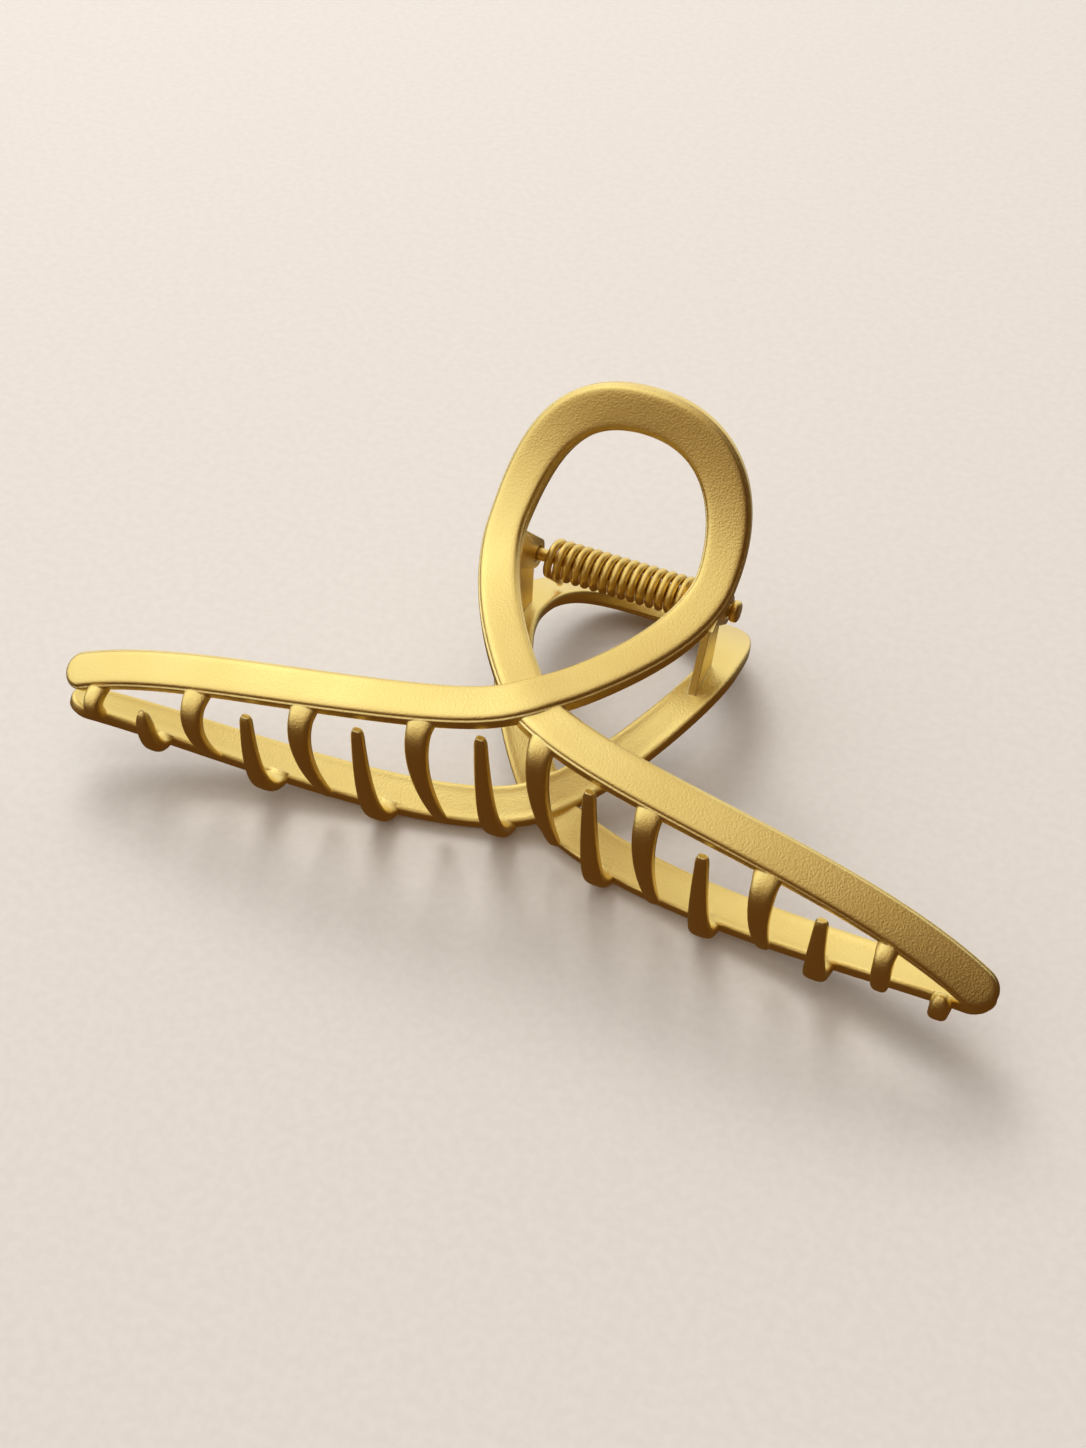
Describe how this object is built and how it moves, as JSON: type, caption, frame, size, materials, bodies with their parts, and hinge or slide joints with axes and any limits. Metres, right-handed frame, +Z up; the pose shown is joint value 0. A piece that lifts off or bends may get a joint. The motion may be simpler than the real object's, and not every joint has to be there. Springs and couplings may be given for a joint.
{
  "type": "claw clip",
  "caption": "Gold metal claw clip: two identical cast ribbon-loop jaws with curved interleaving teeth, a headed hinge pin and a coiled torsion spring.",
  "frame": {"origin": "on the table under the middle of the clip's bounding box, as it lies closed on its rear jaw", "axes": "+X along the clip's length, +Y from the teeth towards the finger loops, +Z up, out of the front jaw"},
  "size_m": [0.1084, 0.0536, 0.0419],
  "materials": {
    "cast_gold": "satin gold plating over a zinc-alloy casting",
    "pin_gold": "gold-plated steel, satin",
    "spring_gold": "gold-plated spring steel wire, polished"
  },
  "bodies": {
    "rear": {"rear_jaw": "cast_gold", "hinge_pin": "pin_gold", "torsion_spring": "spring_gold"},
    "front": {"front_jaw": "cast_gold"}
  },
  "joints": [
    {"name": "jaw_hinge", "type": "hinge", "parent": "rear", "child": "front", "pos_m": [0, 0.011, 0.01859], "axis": [-1, 0, 0], "range_deg": [0, 118], "stiffness_Nm_per_rad": 0.046, "springref_deg": -57.3, "deforming": ["torsion_spring"]}
  ]
}
